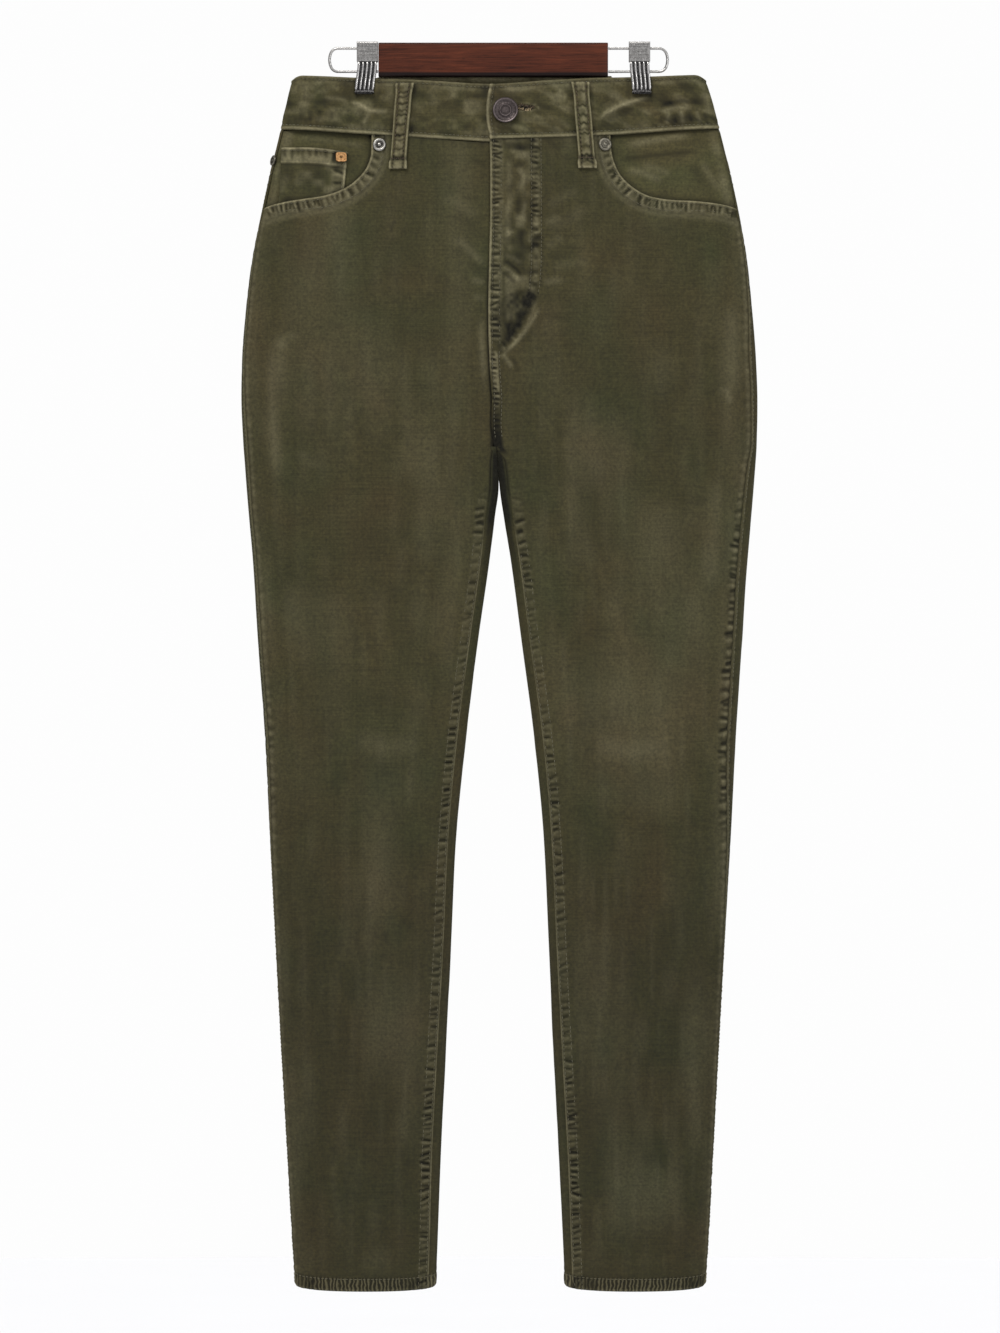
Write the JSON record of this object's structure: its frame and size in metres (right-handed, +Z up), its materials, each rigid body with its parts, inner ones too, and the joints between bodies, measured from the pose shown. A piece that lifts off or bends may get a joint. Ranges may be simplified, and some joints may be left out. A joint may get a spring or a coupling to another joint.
{
  "type": "corduroy trousers on a clip hanger",
  "caption": "Olive needlecord jeans-cut trousers hanging flat by the waistband from a wooden clip hanger, with open waist and legs.",
  "frame": {"origin": "middle of the top face of the hanger's wooden bar, where the hanger is held", "axes": "+Z up, the garment hangs down -Z and its front faces -Y, +X to the wearer's left"},
  "size_m": [0.4384, 0.051, 1.0624],
  "materials": {
    "needlecord": "washed olive needlecord, matt with a soft nap",
    "gunmetal": "dark antiqued metal, satin",
    "nickel": "worn nickel, satin",
    "copper": "worn copper, satin",
    "wood": "varnished mahogany",
    "hanger_metal": "polished plated steel"
  },
  "bodies": {
    "root": {"front_right": "needlecord", "front_left": "needlecord", "back_right": "needlecord", "back_left": "needlecord", "yoke_right": "needlecord", "yoke_left": "needlecord", "pocket_facing_right": "needlecord", "pocket_facing_left": "needlecord", "coin_pocket": "needlecord", "fly_shield": "needlecord", "waistband": "needlecord", "belt_loop_front_right": "needlecord", "belt_loop_front_left": "needlecord", "belt_loop_side_right": "needlecord", "belt_loop_side_left": "needlecord", "belt_loop_back": "needlecord", "back_pocket_right": "needlecord", "back_pocket_left": "needlecord", "button": "gunmetal", "rivet_right": "nickel", "rivet_left": "nickel", "rivet_coin_outer": "nickel", "rivet_coin_inner": "copper", "hanger_bar": "wood", "hanger_wire_right": "hanger_metal", "hanger_wire_left": "hanger_metal", "hanger_clip_right": "hanger_metal", "hanger_clip_left": "hanger_metal"}
  },
  "joints": []
}
